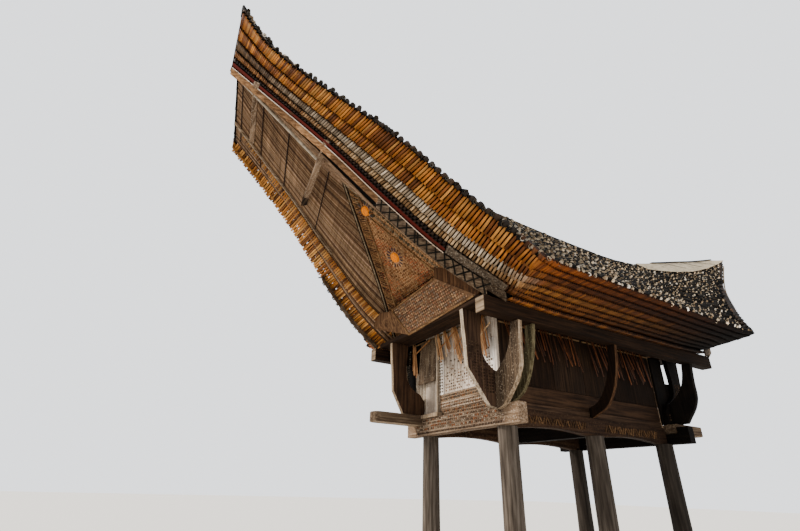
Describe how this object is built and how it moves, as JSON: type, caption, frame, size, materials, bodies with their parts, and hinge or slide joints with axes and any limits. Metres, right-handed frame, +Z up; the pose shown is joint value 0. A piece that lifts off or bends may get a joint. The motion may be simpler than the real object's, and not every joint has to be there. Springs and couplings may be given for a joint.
{
  "type": "tongkonan rice barn",
  "caption": "Rice barn of a tongkonan compound: a small granary box on round pillars under a long saddle roof of layered split bamboo with steep upswept ends.",
  "frame": {"origin": "on the ground at the middle of the outline's bounding box", "axes": "+Y along the ridge from the front gable to the back, +X to the right side as seen from the front, +Z up"},
  "size_m": [4.9, 14.41, 9.15],
  "materials": {
    "carved_board": "carved and painted board, faded red, black and ochre",
    "dark_wood": "dark, shaded weathered timber",
    "old_wood": "weathered grey-brown timber",
    "pale_board": "weathered pale board",
    "pillar_trunk": "smooth weathered palm trunk",
    "split_bamboo": "layers of split bamboo, grey-black above and orange-brown below"
  },
  "bodies": {
    "root": {"back_horn_left": "old_wood", "back_horn_right": "dark_wood", "back_sill": "old_wood", "back_wall": "pale_board", "cross_board_back": "old_wood", "cross_board_front": "old_wood", "fascia_back_left": "pale_board", "fascia_back_right": "pale_board", "fascia_front_left": "pale_board", "fascia_front_right": "pale_board", "floor": "old_wood", "front_hatch": "pale_board", "front_horn_left": "old_wood", "front_horn_right": "old_wood", "front_sill": "old_wood", "front_wall": "pale_board", "gable_back": "carved_board", "gable_front": "carved_board", "hatch_post": "pale_board", "hood_back": "old_wood", "hood_front": "old_wood", "left_wall": "pale_board", "middle_sill": "old_wood", "pillar_back_left": "pillar_trunk", "pillar_back_right": "pillar_trunk", "pillar_front_left": "pillar_trunk", "pillar_front_right": "pillar_trunk", "pillar_middle_left": "pillar_trunk", "pillar_middle_right": "pillar_trunk", "plate_left": "old_wood", "plate_right": "old_wood", "ridge_cap": "pale_board", "right_wall": "pale_board", "roof_left": "split_bamboo", "roof_right": "split_bamboo", "side_horn_back_left": "old_wood", "side_horn_back_right": "dark_wood", "side_horn_front_left": "old_wood", "side_horn_front_right": "old_wood", "side_rib_left": "old_wood", "side_rib_right": "old_wood", "side_sill_left": "old_wood", "side_sill_right": "old_wood", "tie_back_lower": "pale_board", "tie_back_upper": "pale_board", "tie_front_lower": "pale_board", "tie_front_upper": "pale_board", "tongue_back_right": "old_wood", "tongue_front_left": "old_wood"}
  },
  "joints": []
}
